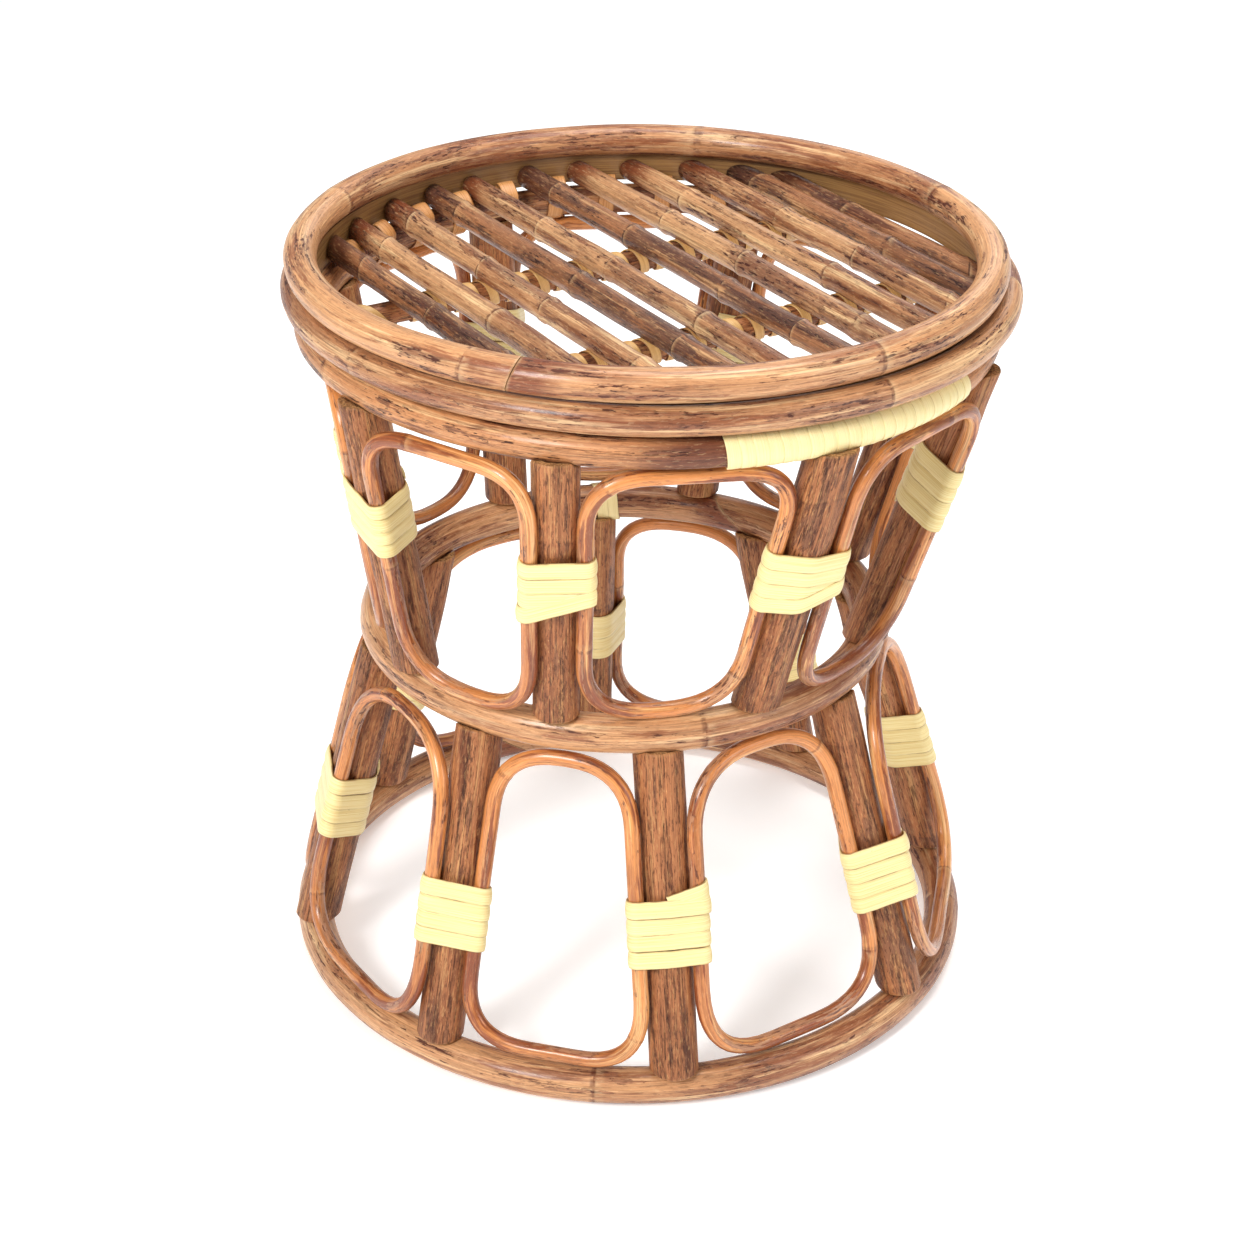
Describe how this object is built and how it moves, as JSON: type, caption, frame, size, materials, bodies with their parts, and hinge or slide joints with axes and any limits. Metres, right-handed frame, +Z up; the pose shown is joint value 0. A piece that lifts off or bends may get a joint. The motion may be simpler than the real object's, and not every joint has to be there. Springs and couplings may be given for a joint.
{
  "type": "cane stool",
  "caption": "Round waisted cane stool: leaning posts and rounded cane loops between hoops, bound with peeled strip, under a seat of canes.",
  "frame": {"origin": "on the floor, under the middle of the stool's bounding box", "axes": "+Z up, the stool's height; -Y is the side that faces the picture's camera"},
  "size_m": [0.3812, 0.3784, 0.406],
  "materials": {
    "hoop_cane": "natural skin with a satin clear coat",
    "post_cane": "scraped cane, fibrous, satin",
    "loop_cane": "thin cane with its glossy skin on",
    "strip": "peeled cane strip, pale, satin",
    "seat_cane": "natural skin, satin"
  },
  "bodies": {
    "root": {"top_hoop": "hoop_cane", "middle_hoop": "hoop_cane", "rim_hoop": "hoop_cane", "waist_hoop": "hoop_cane", "base_hoop": "hoop_cane", "upper_post_1": "post_cane", "upper_loop_1": "loop_cane", "upper_binding_1": "strip", "upper_post_2": "post_cane", "upper_loop_2": "loop_cane", "upper_binding_2": "strip", "upper_post_3": "post_cane", "upper_loop_3": "loop_cane", "upper_binding_3": "strip", "upper_post_4": "post_cane", "upper_loop_4": "loop_cane", "upper_binding_4": "strip", "upper_post_5": "post_cane", "upper_loop_5": "loop_cane", "upper_binding_5": "strip", "upper_post_6": "post_cane", "upper_loop_6": "loop_cane", "upper_binding_6": "strip", "upper_post_7": "post_cane", "upper_loop_7": "loop_cane", "upper_binding_7": "strip", "upper_post_8": "post_cane", "upper_loop_8": "loop_cane", "upper_binding_8": "strip", "lower_post_1": "post_cane", "lower_loop_1": "loop_cane", "lower_binding_1": "strip", "lower_post_2": "post_cane", "lower_loop_2": "loop_cane", "lower_binding_2": "strip", "lower_post_3": "post_cane", "lower_loop_3": "loop_cane", "lower_binding_3": "strip", "lower_post_4": "post_cane", "lower_loop_4": "loop_cane", "lower_binding_4": "strip", "lower_post_5": "post_cane", "lower_loop_5": "loop_cane", "lower_binding_5": "strip", "lower_post_6": "post_cane", "lower_loop_6": "loop_cane", "lower_binding_6": "strip", "lower_post_7": "post_cane", "lower_loop_7": "loop_cane", "lower_binding_7": "strip", "lower_post_8": "post_cane", "lower_loop_8": "loop_cane", "lower_binding_8": "strip", "rim_wrap": "strip", "waist_wrap": "strip", "rim_lining": "strip", "seat_grid": "seat_cane"}
  },
  "joints": []
}
